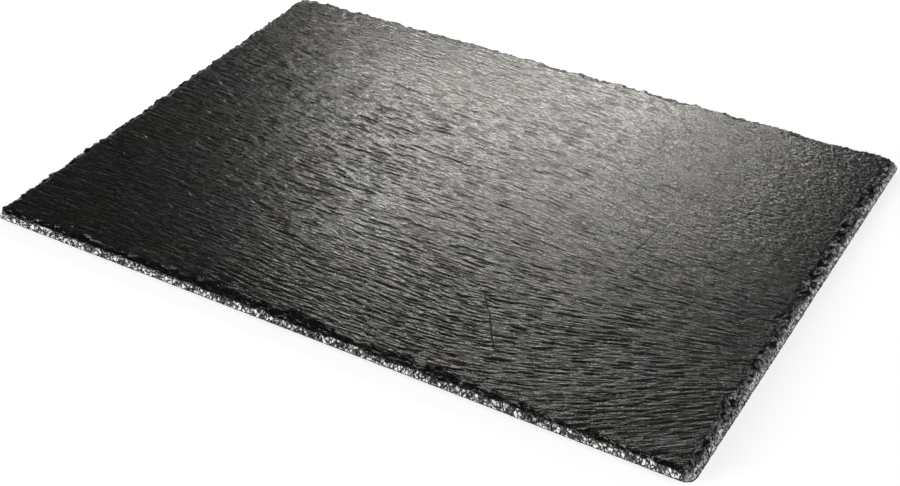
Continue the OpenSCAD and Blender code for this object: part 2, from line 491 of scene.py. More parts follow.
# The broken wall: depths in millimetres, and sizes along the rim and up the wall
FACET = 0.85
FACET_SIZE = (1.9, 2.6)
FINE_FACET_SIZE = (0.8, 0.95)
FACET_TILT = 0.9
COARSE_FACET_SHARE = 0.65
STREAK = 0.35
STREAK_SIZE = (0.75, 3.5)
STREAK_LEAN = 0.1875
LAYER = 0.10
LAYER_SIZE = (5, 0.42)
CRACK = 0.7
CRACK_SIZE = (1.5, 4)
CRACK_LEAN = 0.18
CRACK_SWAY = 2
CRACK_SWAY_SIZE = (4, 4)
CRACK_CUT = (0.86, 1.0)
WALL_PROUD = 0.2
RIGHT_WALL_LESS = 0.1


def wall_depth(along, rise, on_right):
    """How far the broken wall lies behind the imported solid."""
    coarse = facets(along, rise, FACET_SIZE, 31, FACET_TILT)
    fine = facets(along, rise, FINE_FACET_SIZE, 41, FACET_TILT)
    streak = 0.5 + 0.5 * noise(along + STREAK_LEAN * rise, rise, STREAK_SIZE, 51)
    layer = 0.5 + 0.5 * noise(along, rise, LAYER_SIZE, 52)
    sway = CRACK_SWAY * noise(along, rise, CRACK_SWAY_SIZE, 54)
    crack = 1 - np.abs(noise(along + CRACK_LEAN * rise, rise + sway, CRACK_SIZE, 55))
    depth = FACET * (COARSE_FACET_SHARE * coarse + (1 - COARSE_FACET_SHARE) * fine)
    depth = depth + STREAK * streak + LAYER * layer + CRACK * ramp(crack, *CRACK_CUT)
    return np.clip(depth - WALL_PROUD, 0, None) * (1 - RIGHT_WALL_LESS * on_right)


# The chips' hollows above the wall, and the pits beside the crest and the arris
SCAR_SET = 0.25
SCAR_ROUGH = 0.55
SCAR_BITE_SIZE = (2.2, 1.3)
SCAR_FACET_SIZE = (2.6, 1.5)
PIT_BITE = 1.0
PIT_CELL_SIZE = (3.0, 2.1)
PIT_CELL_TILT = 0.5
PIT_SWAY = 0.4
PIT_SWAY_SIZE = (3, 2)
PIT_CUT = 0.62
PIT_CUT_RIGHT_LESS = 0.14
PIT_EDGE = 0.14
CREST_BITE = 0.7
CREST_REACH = 1.1


def scar_depth(along, travel):
    """How far the chips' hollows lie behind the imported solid."""
    bites = 0.5 + 0.5 * layered(along, travel, SCAR_BITE_SIZE, 53)
    flakes = facets(along, travel, SCAR_FACET_SIZE, 61, 1.0)
    return SCAR_SET + SCAR_ROUGH * (0.5 * bites + 0.5 * flakes)


def pit_share(along, travel, on_right):
    """1 in the small deep pits beside the crest and the arris, 0 between them."""
    bent = travel + PIT_SWAY * noise(along, travel, PIT_SWAY_SIZE, 72)
    least = PIT_CUT - PIT_CUT_RIGHT_LESS * on_right
    return ramp(facets(along, bent, PIT_CELL_SIZE, 73, PIT_CELL_TILT), least, least + PIT_EDGE)


def crest_share(along):
    """How much is broken away from the crest at each place along the rim, from 0 to 1."""
    return ramp(line_noise(along, 1.5, 0.4, 82) + 0.5 * line_noise(along, 0.7, 0.9, 83), -0.25, 0.8)


def rim_depth(rim):
    """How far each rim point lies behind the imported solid, and the share of the pits there."""
    on_front = rim.on_front
    on_right = rim.on_right
    foot_fade = 0.25 + 0.75 * ramp(rim.heights - UNDER_Z, 0.1, 0.9)
    wall_window = ramp(rim.travel, 0.4, -0.3)
    scar_window = ramp(rim.travel, -0.3, 0.5) * ramp(rim.past_arris, 1.3, 0.3)
    past_limit = 0.3 + 0.7 * np.maximum(on_front, on_right)
    pit_window = ramp(rim.travel, -1.3 + 0.8 * on_front, -0.4) * ramp(rim.past_arris / past_limit, 1.5, 0.4)
    pit = pit_share(rim.along, rim.travel, on_right) * pit_window
    crest_window = np.exp(-(rim.travel / CREST_REACH) ** 2)
    depth = wall_depth(rim.along, rim.heights, on_right) * wall_window * foot_fade
    depth = depth + scar_depth(rim.along, rim.travel) * scar_window
    depth = depth + PIT_BITE * pit * (1 - 0.5 * on_front)
    return depth + CREST_BITE * crest_share(rim.along) * crest_window, pit


def rim_shape():
    """The rim, as arrays of stations by rings: its points, and where each lies on the rim."""
    foot_x, foot_y = outline(0, CORNER_R)
    cap_x, cap_y = outline(CAP_INSET, CAP_CORNER_R)
    shares, heights = rim_profiles(foot_x, foot_y, cap_x, cap_y)
    rim = SimpleNamespace(foot_x=foot_x, foot_y=foot_y, cap_x=cap_x, cap_y=cap_y, heights=heights)
    rim.count, rim.rings = shares.shape
    rim.along = np.repeat(run_along(foot_x, foot_y)[:, None], rim.rings, 1)
    reach = np.hypot(foot_x - cap_x, foot_y - cap_y)[:, None]
    inward = shares * reach
    strides = np.hypot(np.diff(inward, axis=1), np.diff(heights, axis=1))
    rim.climb = np.concatenate([np.zeros((rim.count, 1)), np.cumsum(strides, 1)], 1)
    rim.travel = rim.climb - rim.climb[:, WALL_RINGS][:, None]
    rim.past_arris = rim.travel - rim.travel[:, WALL_RINGS + SCAR_RINGS][:, None]
    rim.on_front = ramp(-foot_y, HALF_W - 4, HALF_W - 1)[:, None]
    rim.on_right = ramp(foot_x, HALF_L - 4, HALF_L - 1)[:, None]

    depth, rim.pit = rim_depth(rim)
    out = reach - inward
    up = heights - UNDER_Z - EYE_RISE
    shrink = np.clip(1 - depth / np.maximum(np.hypot(out, up), 1e-6), 0, 1)
    share = 1 - out * shrink / reach
    rim.x = between(foot_x[:, None], cap_x[:, None], share)
    rim.y = between(foot_y[:, None], cap_y[:, None], share)
    rim_z = UNDER_Z + EYE_RISE + up * shrink
    skin_z = TOP_Z + top_relief(rim.x, rim.y)
    rim.below_skin = skin_z - rim_z
    rim.z = np.minimum(rim_z, skin_z)
    return rim


# The foot ring is turned under by a worn, nibbled bevel
BEVEL = 0.34
NIBBLE = 0.10
NIBBLE_SIZE = (2.2, 1)
UNDER_FADE = 2.0


def under_rings(rim):
    """Rings that run inwards from the foot under the board, as arrays of rings by stations."""
    along = rim.along[:, 0]
    nibble = NIBBLE + NIBBLE * (0.5 + 0.5 * layered(along, along * 0 + 0.5, NIBBLE_SIZE, 71))
    insets = [BEVEL + nibble] + [np.full(rim.count, inset) for inset in UNDER_RING_INSETS]
    share = np.clip(np.array(insets) / CAP_INSET, 0, 1)
    x = between(rim.foot_x, rim.cap_x, share)
    y = between(rim.foot_y, rim.cap_y, share)
    fade = np.minimum(1.0, np.array((BEVEL,) + UNDER_RING_INSETS) / UNDER_FADE)
    return x, y, UNDER_Z + under_relief(x, y) * fade[:, None]


def finish_values(rim, points):
    """The finish of every point as shares by name, and its places on the grain and on the rim."""
    on_right = rim.on_right
    jag = 0.35 * noise(rim.along, rim.heights, (1.1, 2), 91)
    jag = jag + 0.25 * noise(rim.along, rim.heights, (0.6, 0.8), 92)
    jag = jag + 0.9 * line_noise(rim.along, 4.5, 0.5, 95) - 0.35 - 0.9 * on_right
    wall = ramp(jag - rim.travel, -0.2, 0.2)
    # The chips' hollows, shown near black: partly their own dark break, partly painted shade
    scar_and_shade = ramp(rim.below_skin, 0.05, 0.16) * (1 - wall)
    # Grey on the right side's chips, in place of near black, is painted sheen
    grey = 0.55 * on_right * ramp(noise(rim.along, rim.travel, (2.6, 1.5), 93), -0.55, 0.0)
    # The pits keep the near-black colour: painted shadow in the notches
    grey = grey * ramp(rim.pit, 0.7, 0.3)
    # A thin dark line along the foot of the wall is painted shade, where the lower arris turns under into
    # shadow
    painted_foot_shade = ramp(rim.heights - UNDER_Z, 0.52 + 0.08 * noise(rim.along, rim.heights, (3, 1), 94), 0.36)
    arris_patch = ramp(line_noise(rim.along, 7, 0.3, 81), 0.2, 0.5)
    front_right = on_right * ramp(-rim.foot_y, 80, 105)[:, None]
    arris_patch = np.maximum(arris_patch, front_right * ramp(line_noise(rim.along, 2.5, 0.7, 84), -0.3, 0.1))
    arris_line = np.exp(-(rim.past_arris / 0.45) ** 2)

    on_rim = {
        "wall": wall * (1 - painted_foot_shade),
        "scar_and_shade": np.maximum(scar_and_shade, painted_foot_shade),
        "grey": grey * scar_and_shade,
        "line": arris_line * arris_patch,
        "side": np.repeat(on_right, rim.rings, 1),
        "along": rim.along,
    }
    values = {}
    for name, part in on_rim.items():
        values[name] = np.zeros(len(points))
        values[name][:part.size] = part.ravel()
    # The bevel ring under the foot takes the near-black colour too, as painted shade on the face turned down
    values["scar_and_shade"][rim.x.size:rim.x.size + rim.count] = 1.0
    x = points[:, 0]
    y = points[:, 1]
    values["valley"] = groove_share(x, y, TOP_SEED)
    values["grit"] = grit(x, y)
    values["pale"] = pale_share(x, y)
    values["coarse"] = coarse_share(x, y)
    values["strength"] = ripple_height(x, y)
    values["grain"] = np.stack([*flow(x, y), points[:, 2]], -1)
    values["rim_place"] = np.stack([values.pop("along"), points[:, 2], np.hypot(x, y)], -1)
    return values


# The stone's faces and its bake map

GRID_HALF_L = HALF_L - GRID_INSET
GRID_HALF_W = HALF_W - GRID_INSET


def quads_of(*corners):
    """Quads whose four corners lie at the same places of four arrays."""
    return np.stack(corners, -1).reshape(-1, 4)


def sheet_grid(step):
    """A plain grid over the level part of the board, with its border as a loop and its quads."""
    count_x = round(2 * GRID_HALF_L / step[0]) + 1
    count_y = round(2 * GRID_HALF_W / step[1]) + 1
    xs = np.linspace(-GRID_HALF_L, GRID_HALF_L, count_x)
    ys = np.linspace(-GRID_HALF_W, GRID_HALF_W, count_y)
    x, y = np.meshgrid(xs, ys)
    index = np.arange(count_x * count_y).reshape(count_y, count_x)
    border = np.concatenate([index[0, :-1], index[:-1, -1], index[-1, :0:-1], index[:0:-1, 0]])
    quads = quads_of(index[:-1, :-1], index[:-1, 1:], index[1:, 1:], index[1:, :-1])
    return SimpleNamespace(x=x.ravel(), y=y.ravel(), border=border, quads=quads)


def loop_places(points, loop):
    """How far each point of a closed loop has gone round the board, 1 for each side, never back."""
    x = points[loop, 0]
    y = points[loop, 1]
    around = np.arctan2(y * GRID_HALF_L / GRID_HALF_W, x)
    side = np.floor(((around + 3 * np.pi / 4) % (2 * np.pi)) / (np.pi / 2)).astype(int) % 4
    place = np.zeros(len(loop))
    for quarter in SIDES:
        half = GRID_HALF_L if quarter % 2 == 0 else GRID_HALF_W
        back_x = turn(x, y, (4 - quarter) % 4)[0]
        share = np.clip((back_x + half) / (2 * half), 0, 1)
        place = np.where(side == quarter, quarter + share, place)
    place[0] = 0
    return np.append(np.maximum.accumulate(place), float(len(SIDES)))


def stitch(points, outer, inner):
    """Triangles that fill the gap between two closed loops of points, matched by place."""
    outer_place = loop_places(points, outer)
    inner_place = loop_places(points, inner)
    faces = []
    i = 0
    j = 0
    count_o = len(outer)
    count_i = len(inner)
    while i < count_o or j < count_i:
        next_o = outer_place[i + 1] if i < count_o else FAR_AWAY
        next_i = inner_place[j + 1] if j < count_i else FAR_AWAY
        if next_o <= next_i:
            faces.append((outer[i % count_o], outer[(i + 1) % count_o], inner[j % count_i]))
            i += 1
        else:
            faces.append((outer[i % count_o], inner[(j + 1) % count_i], inner[j % count_i]))
            j += 1
    return np.array(faces)


def ring_quads(loops):
    """Quads between each closed loop of points and the next one, for loops of one length."""
    after = np.roll(loops, -1, 1)
    return quads_of(loops[:-1], loops[1:], after[1:], after[:-1])


# The bake map's areas in the unit square: the top, a strip for each side of the rim, and the underside
MAP_PER_MM = 0.80 / 350
MAP_EDGE = 0.004
STRIP_LOW = 0.583
STRIP_PITCH = 0.050
STRIP_HIGH = 0.046
UNDER_MAP_LOW = 0.789
UNDER_MAP_PER_MM = 0.205 / 250


def plan_map(points, low, per_mm):
    """Bake map places of a level face, seen from above."""
    return np.stack([MAP_EDGE + (points[:, 0] + HALF_L) * per_mm, low + (points[:, 1] + HALF_W) * per_mm], -1)


def strip_map(rim):
    """Bake map places of the rim's quads, one strip for each side, from its foot up to its cap."""
    stretch = STRIP_HIGH / rim.climb.max()
    steps = np.hypot(np.roll(rim.foot_x, -1) - rim.foot_x, np.roll(rim.foot_y, -1) - rim.foot_y)
    following = np.roll(np.arange(rim.count), -1)
    corners = np.zeros((rim.count, rim.rings - 1, 4, 2))
    start = 0
    for side in SIDES:
        size = STRAIGHT_COUNTS[side] + ARC_COUNT
        here = slice(start, start + size)
        run = MAP_EDGE + np.concatenate([[0], np.cumsum(steps[here])]) * MAP_PER_MM
        low = STRIP_LOW + side * STRIP_PITCH
        near = low + rim.climb[here] * stretch
        far = low + rim.climb[following[here]] * stretch
        ends = (run[:-1], run[1:], run[1:], run[:-1])
        climbs = (near[:, :-1], far[:, :-1], far[:, 1:], near[:, 1:])
        for k in range(4):
            corners[here, :, k, 0] = ends[k][:, None]
            corners[here, :, k, 1] = climbs[k]
        start += size
    return corners.reshape(-1, 2)


def slate_mesh():
    """The stone's mesh data with its grain and fracture attributes and its bake map."""
    rim = rim_shape()
    under_x, under_y, under_z = under_rings(rim)
    top = sheet_grid(TOP_STEP)
    low = sheet_grid(UNDER_STEP)
    parts = [
        (rim.x, rim.y, rim.z),
        (under_x, under_y, under_z),
        (top.x, top.y, TOP_Z + top_relief(top.x, top.y)),
        (low.x, low.y, UNDER_Z + under_relief(low.x, low.y)),
    ]
    points = np.concatenate([np.stack(part, -1).reshape(-1, 3) for part in parts])
    under_start = rim.x.size
    top_start = under_start + under_x.size
    low_start = top_start + top.x.size

    rim_index = np.arange(rim.x.size).reshape(rim.count, rim.rings)
    under_index = under_start + np.arange(under_x.size).reshape(under_x.shape)
    after = np.roll(rim_index, -1, 0)
    rim_quads = quads_of(rim_index[:, :-1], after[:, :-1], after[:, 1:], rim_index[:, 1:])
    under_quads = ring_quads(np.concatenate([rim_index[None, :, 0], under_index]))
    top_quads = top.quads + top_start
    low_quads = low.quads[:, ::-1] + low_start
    top_triangles = stitch(points, rim_index[:, -1], top.border + top_start)
    under_triangles = stitch(points, under_index[-1], low.border + low_start)[:, ::-1]
    face_parts = (rim_quads, under_quads, top_quads, low_quads, top_triangles, under_triangles)
    faces = [tuple(face) for part in face_parts for face in part.tolist()]
    mesh = bpy.data.meshes.new("slate_stone")
    mesh.from_pydata((points * MM).tolist(), [], faces)
    mesh.update()

    for name, values in finish_values(rim, points).items():
        kind, key = ("FLOAT", "value") if values.ndim == 1 else ("FLOAT_VECTOR", "vector")
        attribute = mesh.attributes.new(name, kind, "POINT")
        attribute.data.foreach_set(key, values.astype(np.float32).ravel())

    top_map = plan_map(points, MAP_EDGE, MAP_PER_MM)
    under_map = plan_map(points, UNDER_MAP_LOW, UNDER_MAP_PER_MM)
    bake_places = np.concatenate([
        strip_map(rim),
        under_map[under_quads.ravel()],
        top_map[top_quads.ravel()],
        under_map[low_quads.ravel()],
        top_map[top_triangles.ravel()],
        under_map[under_triangles.ravel()],
    ])
    bake_map = mesh.uv_layers.new(name="OFBake")
    bake_map.data.foreach_set("uv", bake_places.astype(np.float32).ravel())

    smooth = np.ones(len(faces), bool)
    smooth[:len(rim_quads)] = np.tile(np.arange(rim.rings - 1) >= WALL_RINGS, rim.count)
    mesh.polygons.foreach_set("use_smooth", smooth)
    return mesh


# Materials

def material(name):
    """A new material with nodes, as its node tree and its main shader."""
    made = bpy.data.materials.new(name)
    made.use_nodes = True
    tree = made.node_tree
    shader = tree.nodes["Principled BSDF"]
    return made, tree, shader


def put(tree, kind, settings=None, **inputs):
    """Adds a shader node. Inputs are values or outputs of nodes, by socket name or, as i2, by number."""
    made = tree.nodes.new("ShaderNode" + kind)
    for key, value in (settings or {}).items():
        setattr(made, key, value)
    for key, value in inputs.items():
        numbered = key[0] == "i" and key[1:].isdigit()
        socket = made.inputs[int(key[1:]) if numbered else key.replace("_", " ")]
        if isinstance(value, bpy.types.NodeSocket):
            tree.links.new(value, socket)
        else:
            socket.default_value = value
    return made


def math_of(tree, operation, a, b=0.0, c=0.0):
    """The result of one Math node."""
    return put(tree, "Math", {"operation": operation}, i0=a, i1=b, i2=c).outputs[0]


def times(tree, a, b, plus=None):
    """The product of two values, with a third added where there is one."""
    if plus is None:
        return math_of(tree, "MULTIPLY", a, b)
    return math_of(tree, "MULTIPLY_ADD", a, b, plus)


def centred(tree, value):
    """A value of 0 to 1 turned to one of -0.5 to 0.5."""
    return math_of(tree, "SUBTRACT", value, 0.5)


def ramp_of(tree, value, low, high, at_low=0.0, at_high=1.0):
    """A smooth change between two values, 0 at low and 1 at high unless others are given."""
    node = put(tree, "MapRange", {"interpolation_type": "SMOOTHSTEP"},
               Value=value, From_Min=low, From_Max=high, To_Min=at_low, To_Max=at_high)
    return node.outputs[0]


def vector_of(tree, operation, a, b, c=(0, 0, 0), output="Vector"):
    """What one Vector Math node gives."""
    return put(tree, "VectorMath", {"operation": operation}, i0=a, i1=b, i2=c).outputs[output]


def dot_of(tree, a, b):
    """The dot product of two vectors."""
    return vector_of(tree, "DOT_PRODUCT", a, b, output="Value")


def stretched(tree, place, scale):
    """A place with each coordinate scaled on its own."""
    return vector_of(tree, "MULTIPLY", place, scale)


def scaled(tree, colour, share):
    """A colour or place scaled by one number."""
    return put(tree, "VectorMath", {"operation": "SCALE"}, i0=colour, Scale=share).outputs[0]


def noise_of(tree, place, scale, detail=2.0, roughness=0.5, output="Fac"):
    """Noise over a place, from 0 to 1. The scale is one number, or one for each coordinate."""
    if isinstance(scale, tuple):
        place = stretched(tree, place, scale)
        scale = 1.0
    node = put(tree, "TexNoise", None, Vector=place, Scale=scale, Detail=detail, Roughness=roughness)
    return node.outputs[output]


def bent_by(tree, place, scale, detail, reach):
    """A place moved about by coloured noise, as far as reach says along each coordinate."""
    return vector_of(tree, "MULTIPLY_ADD", noise_of(tree, place, scale, detail, output="Color"), reach, place)


def cells_of(tree, place, feature, output):
    """One output of a pattern of cells over a place."""
    return put(tree, "TexVoronoi", {"feature": feature}, Vector=place, Scale=1.0).outputs[output]


def mix_of(tree, share, a, b, blend="MIX"):
    """One colour mixed into another."""
    node = put(tree, "Mix", {"data_type": "RGBA", "blend_type": blend}, i0=share, i6=a, i7=b)
    return node.outputs[2]


def attribute_of(tree, name, output="Fac"):
    """An attribute of the mesh."""
    return put(tree, "Attribute", {"attribute_name": name}).outputs[output]


def object_place(tree):
    """The place on the object, in metres."""
    return put(tree, "TexCoord").outputs["Object"]


def add_bump(tree, shader, height, strength, distance):
    """Bumps from a height."""
    bump = put(tree, "Bump", None, Strength=strength, Distance=distance, Height=height)
    tree.links.new(bump.outputs[0], shader.inputs["Normal"])


SLATE_COLOUR = (0.0110, 0.0107, 0.0102, 1)
# Near black: the chips' hollows, partly their own dark break and partly painted shade, with painted shadow in
# the pits and painted shade along the foot and under its bevel
SCAR_AND_SHADE_COLOUR = (0.0030, 0.0030, 0.0030, 1)
WALL_DARK = (0.007, 0.007, 0.0075, 1)
# The wall's pale is the broken stone's lighter colour brightened into a painted highlight from the front lamp
WALL_PALE_AND_HIGHLIGHT = (0.80, 0.795, 0.78, 1)
CRYSTAL_DARK = (0.014, 0.014, 0.016, 1)
CRYSTAL_PALE = (0.82, 0.82, 0.84, 1)
LINE_COLOUR = (0.22, 0.22, 0.215, 1)
MARK_COLOUR = (0.078, 0.080, 0.080, 1)
MID_GREY = (0.5, 0.5, 0.5, 1)
SHINE_TINT = (1.0, 0.97, 0.92, 1)
SLATE_IOR = 1.5

# Scales of the stone's noises, in bumps for each millimetre. Those of the top are along the grain,
# across it and up. Those of the rim are along it, up it and out from the middle of the board.
TINT_SCALE = (0.030, 0.045, 0.030)
SPECKLE_SCALE = (0.9, 1.5, 1.2)
GRAIN_SCALE = (0.18, 0.85, 1.0)
COARSE_GRAIN_SCALE = (0.66, 0.60, 1.0)
FLECK_SCALE = (1.1, 1.1, 1.0)
SPARK_SCALE = (0.50, 1.30, 1.0)
HAIR_SCALE = (0.09, 0.85, 0.3)
HAIR_SWAY_SCALE = 0.25
HAIR_SWAY = (0.0, 1.2, 0.0)
POLISH_SCALE = (0.05, 0.08, 0.05)
CELL_SWAY_SCALE = 0.9
CELL_SWAY = (1.4, 0.7, 0.0)
CELL_SCALE = (0.62, 0.42, 0.0)
CRYSTAL_SCALE = (1.1, 0.6, 0.0)
PATCH_SCALE = (0.30, 0.35, 0.0)
SLIVER_SCALE = (1.2, 0.55, 1.0)
CRUMB_SCALE = (1.6, 1.1, 1.0)

# The sheen of the stone, and how far each thing changes it
ROUGH_LEAST = 0.235
ROUGH_BASE = 0.25
POLISH_ROUGH = 0.08
FLECK_ROUGH = 0.34
VALLEY_ROUGH = 0.06
SCRATCH_ROUGH = 0.20
WALL_ROUGH = 0.2

# Heights of what is too fine for the mesh, in millimetres
HAIR_MM = 0.11
GRAIN_MM = 0.12
CRUMB_MM = 0.16
SCRATCH_MM = 0.14

# Hairline scratches across the grain, each by the x and y of its two ends, in millimetres
SCRATCHES = (
    ((52.7, -65.3), (77.5, -100.7)),
    ((98.5, 14.0), (96.0, -18.0)),
    ((103.5, -17.0), (102.0, -30.0)),
)
SCRATCH_HALF_W_MM = 0.42
SCRATCH_SWAY_MM = 1.0
SCRATCH_SWAY_SCALE = 0.15
SCRATCH_FADE_IN_MM = 4.0
SCRATCH_FADE_OUT_MM = 5.0


def scratch_share(tree, place, ends):
    """1 on the hairline scratch between those ends, 0 away from it."""
    (ax, ay), (bx, by) = ends
    length = math.hypot(bx - ax, by - ay)
    way = ((bx - ax) / length, (by - ay) / length, 0)
    offset = vector_of(tree, "SUBTRACT", place, (ax, ay, 0))
    along = dot_of(tree, offset, way)
    across = dot_of(tree, offset, (way[1], -way[0], 0))
    across = math_of(tree, "SUBTRACT", across, SCRATCH_SWAY_MM)
    sway = noise_of(tree, place, SCRATCH_SWAY_SCALE, 1.0)
    across = times(tree, sway, 2 * SCRATCH_SWAY_MM, across)
    near = ramp_of(tree, math_of(tree, "ABSOLUTE", across), SCRATCH_HALF_W_MM, 0.0)
    begun = ramp_of(tree, along, 0.0, SCRATCH_FADE_IN_MM)
    not_ended = ramp_of(tree, along, length, length - SCRATCH_FADE_OUT_MM)
    return times(tree, near, times(tree, begun, not_ended))


def scratched_share(tree):
    """1 on all the top's hairline scratches, 0 away from them and on the underside."""
    place = stretched(tree, object_place(tree), (1 / MM, 1 / MM, 1 / MM))
    height = put(tree, "SeparateXYZ", None, Vector=place).outputs["Z"]
    share = 0.0
    for ends in SCRATCHES:
        share = math_of(tree, "MAXIMUM", share, scratch_share(tree, place, ends))
    return times(tree, share, ramp_of(tree, height, UNDER_Z + 1, TOP_Z - 1))


def top_colour(tree, grain):
    """Dark stone with faint mineral tints, a fine speckle and a few pale marks."""
    tint = noise_of(tree, grain, TINT_SCALE, 1.0, output="Color")
    tint = scaled(tree, mix_of(tree, 0.30, MID_GREY, tint), 2.0)
    colour = mix_of(tree, 1.0, SLATE_COLOUR, tint, "MULTIPLY")
    speckle = noise_of(tree, grain, SPECKLE_SCALE, 3.0, 0.6)
    colour = scaled(tree, colour, times(tree, speckle, 1.1, 0.45))
    return mix_of(tree, attribute_of(tree, "pale"), colour, MARK_COLOUR)


def broken_colours(tree, rim_place):
    """The broken wall's pale crystals with dark gaps, the pale partly a painted highlight, and the grey of
    the right side, which on its chips is painted sheen.
    """
    cells = stretched(tree, bent_by(tree, rim_place, CELL_SWAY_SCALE, 2.0, CELL_SWAY), CELL_SCALE)
    cell_colour = cells_of(tree, cells, "F1", "Color")
    cell_tone = put(tree, "SeparateXYZ", None, Vector=cell_colour).outputs["X"]
    edge = cells_of(tree, cells, "DISTANCE_TO_EDGE", "Distance")
    crystal = noise_of(tree, rim_place, CRYSTAL_SCALE, 2.0, 0.6)
    crystal = times(tree, cell_tone, 0.45, math_of(tree, "SUBTRACT", crystal, 0.225))
    crystal = times(tree, ramp_of(tree, crystal, 0.34, 0.41), ramp_of(tree, edge, 0.06, 0.18))
    patch = noise_of(tree, rim_place, PATCH_SCALE, 2.0, 0.6)
    bright = times(tree, ramp_of(tree, patch, 0.36, 0.50), 0.90, 0.10)
    wall = mix_of(tree, times(tree, crystal, bright), WALL_DARK, WALL_PALE_AND_HIGHLIGHT)
    sliver = noise_of(tree, rim_place, SLIVER_SCALE, 2.0, 0.6)
    grey = mix_of(tree, ramp_of(tree, sliver, 0.43, 0.56), CRYSTAL_DARK, CRYSTAL_PALE)
    bright = times(tree, ramp_of(tree, patch, 0.36, 0.62), 0.75, 0.35)
    grey = scaled(tree, grey, bright)
    return mix_of(tree, attribute_of(tree, "side"), wall, grey), grey


def slate_material():
    """Riven slate: dark with a fine grain, black in its chips partly as painted shade, pale and crystalline
    where broken.
    """
    made, tree, shader = material("slate")
    grain = attribute_of(tree, "grain", "Vector")
    rim_place = attribute_of(tree, "rim_place", "Vector")
    wall = attribute_of(tree, "wall")
    scar_and_shade = attribute_of(tree, "scar_and_shade")
    gritty = attribute_of(tree, "grit")
    scratched = scratched_share(tree)

    wall_colour, grey_colour = broken_colours(tree, rim_place)
    # Chips, pits, the foot line and the under bevel take the near-black colour, which is partly painted
    # shade; grey on the right side's chips is painted sheen
    scar_and_shade_colour = mix_of(tree, attribute_of(tree, "grey"), SCAR_AND_SHADE_COLOUR, grey_colour)
    colour = mix_of(tree, wall, top_colour(tree, grain), wall_colour)
    colour = mix_of(tree, scar_and_shade, colour, scar_and_shade_colour)
    colour = mix_of(tree, attribute_of(tree, "line"), colour, LINE_COLOUR)
    tree.links.new(colour, shader.inputs["Base Color"])

    spacing = put(tree, "Mix", {"data_type": "VECTOR"},
                  i0=attribute_of(tree, "coarse"), i4=GRAIN_SCALE, i5=COARSE_GRAIN_SCALE).outputs[1]
    grain_place = stretched(tree, grain, spacing)
    fleck = centred(tree, noise_of(tree, grain_place, FLECK_SCALE, 1.0))
    spark = centred(tree, noise_of(tree, grain, SPARK_SCALE, 0.0))
    fleck = times(tree, math_of(tree, "ADD", fleck, spark), gritty)
    polish = noise_of(tree, grain, POLISH_SCALE)
    rough = times(tree, polish, POLISH_ROUGH, ROUGH_BASE)
    rough = times(tree, fleck, FLECK_ROUGH, rough)
    rough = times(tree, attribute_of(tree, "valley"), VALLEY_ROUGH, rough)
    rough = math_of(tree, "MAXIMUM", rough, ROUGH_LEAST)
    rough = times(tree, scratched, SCRATCH_ROUGH, rough)
    rough = times(tree, wall, WALL_ROUGH, rough)
    tree.links.new(rough, shader.inputs["Roughness"])

    hair_place = bent_by(tree, grain, HAIR_SWAY_SCALE, 1.0, HAIR_SWAY)
    hair = centred(tree, noise_of(tree, hair_place, HAIR_SCALE, 1.0))
    hair = times(tree, hair, attribute_of(tree, "strength"))
    fine_grain = centred(tree, noise_of(tree, grain_place, 1.0, 1.0))
    fine_grain = times(tree, fine_grain, gritty)
    fine = times(tree, hair, HAIR_MM)
    fine = times(tree, fine_grain, GRAIN_MM, fine)
    fine = times(tree, scratched, -SCRATCH_MM, fine)
    crumbs = cells_of(tree, stretched(tree, rim_place, CRUMB_SCALE), "F1", "Distance")
    crumbs = times(tree, crumbs, CRUMB_MM)
    broken = math_of(tree, "MAXIMUM", wall, scar_and_shade)
    height = put(tree, "Mix", {"data_type": "FLOAT"}, i0=broken, i2=fine, i3=crumbs).outputs[0]
    add_bump(tree, shader, height, 1.0, MM)
    shader.inputs["IOR"].default_value = SLATE_IOR
    shader.inputs["Specular Tint"].default_value = SHINE_TINT
    return made


RUBBER_COLOUR = (0.012, 0.012, 0.013, 1)
DUST_COLOUR = (0.035, 0.034, 0.032, 1)
PORE_SCALE = 2600.0
DUST_SCALE = 320.0


def rubber_material():
    """Black foam rubber: matt, finely pored, a little dusty."""
    made, tree, shader = material("pad_rubber")
    place = object_place(tree)
    pores = noise_of(tree, place, PORE_SCALE, 3.0, 0.6)
    dust = ramp_of(tree, noise_of(tree, place, DUST_SCALE), 0.45, 0.8)
    tree.links.new(mix_of(tree, dust, RUBBER_COLOUR, DUST_COLOUR), shader.inputs["Base Color"])
    tree.links.new(times(tree, pores, 0.2, 0.68), shader.inputs["Roughness"])
    add_bump(tree, shader, pores, 0.6, 0.06 * MM)
    return made


FILM_COLOUR = (0.52, 0.50, 0.44, 1)
FILM_PALE = (0.70, 0.69, 0.64, 1)
MOTTLE_SCALE = 900.0


def adhesive_material():
    """Off-white adhesive film, slightly uneven and a little shiny."""
    made, tree, shader = material("adhesive_film")
    mottle = noise_of(tree, object_place(tree), MOTTLE_SCALE, 3.0)
    tree.links.new(mix_of(tree, mottle, FILM_COLOUR, FILM_PALE), shader.inputs["Base Color"])
    tree.links.new(times(tree, mottle, 0.2, 0.32), shader.inputs["Roughness"])
    add_bump(tree, shader, mottle, 0.4, 0.03 * MM)
    return made


# Pieces

def shown(name, mesh, finish, slot, *replaced):
    """An object of that mesh that rides on the board and stands for CAD nodes."""
    piece = bpy.data.objects.new(name, mesh)
    bpy.context.scene.collection.objects.link(piece)
    mesh.materials.append(finish)
    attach(piece, BODY)
    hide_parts(*replaced)
    return piece


TURN_SIDES = 96
WOBBLE_TURNS = 3


